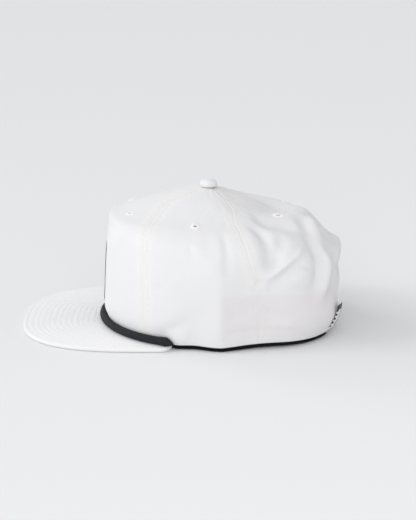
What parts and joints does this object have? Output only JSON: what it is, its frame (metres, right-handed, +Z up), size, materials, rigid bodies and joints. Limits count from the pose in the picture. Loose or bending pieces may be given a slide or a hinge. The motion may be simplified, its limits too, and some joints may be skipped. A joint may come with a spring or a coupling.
{
  "type": "snapback cap",
  "caption": "White cloth snapback cap with a soft paneled crown, flat stitched peak, dark rope trim over the joint and an adjustable strap closure.",
  "frame": {"origin": "middle of the cap's length and width, on the surface that it stands on", "axes": "+Z up through the crown, +Y from the peak to the closure, +X to the wearer's left"},
  "size_m": [0.1752, 0.269, 0.1232],
  "materials": {
    "cloth": "matte white plain-weave cloth",
    "thread": "matte white sewing thread",
    "rope": "dark braided cord",
    "band": "matte black twill tape",
    "patch": "navy woven cloth with a raised edge",
    "plastic": "satin white moulded plastic"
  },
  "bodies": {
    "root": {"front_panel": "cloth", "side_panel_left": "cloth", "side_panel_right": "cloth", "back_panel_left": "cloth", "back_panel_right": "cloth", "eyelet_front_left": "thread", "eyelet_front_right": "thread", "eyelet_side_left": "thread", "eyelet_side_right": "thread", "eyelet_back_left": "thread", "eyelet_back_right": "thread", "button": "cloth", "peak": "cloth", "rope": "rope", "front_patch": "patch", "sweatband": "band", "arch_binding": "cloth", "strap_holes": "plastic", "strap_pegs": "plastic", "back_label": "patch"}
  },
  "joints": []
}
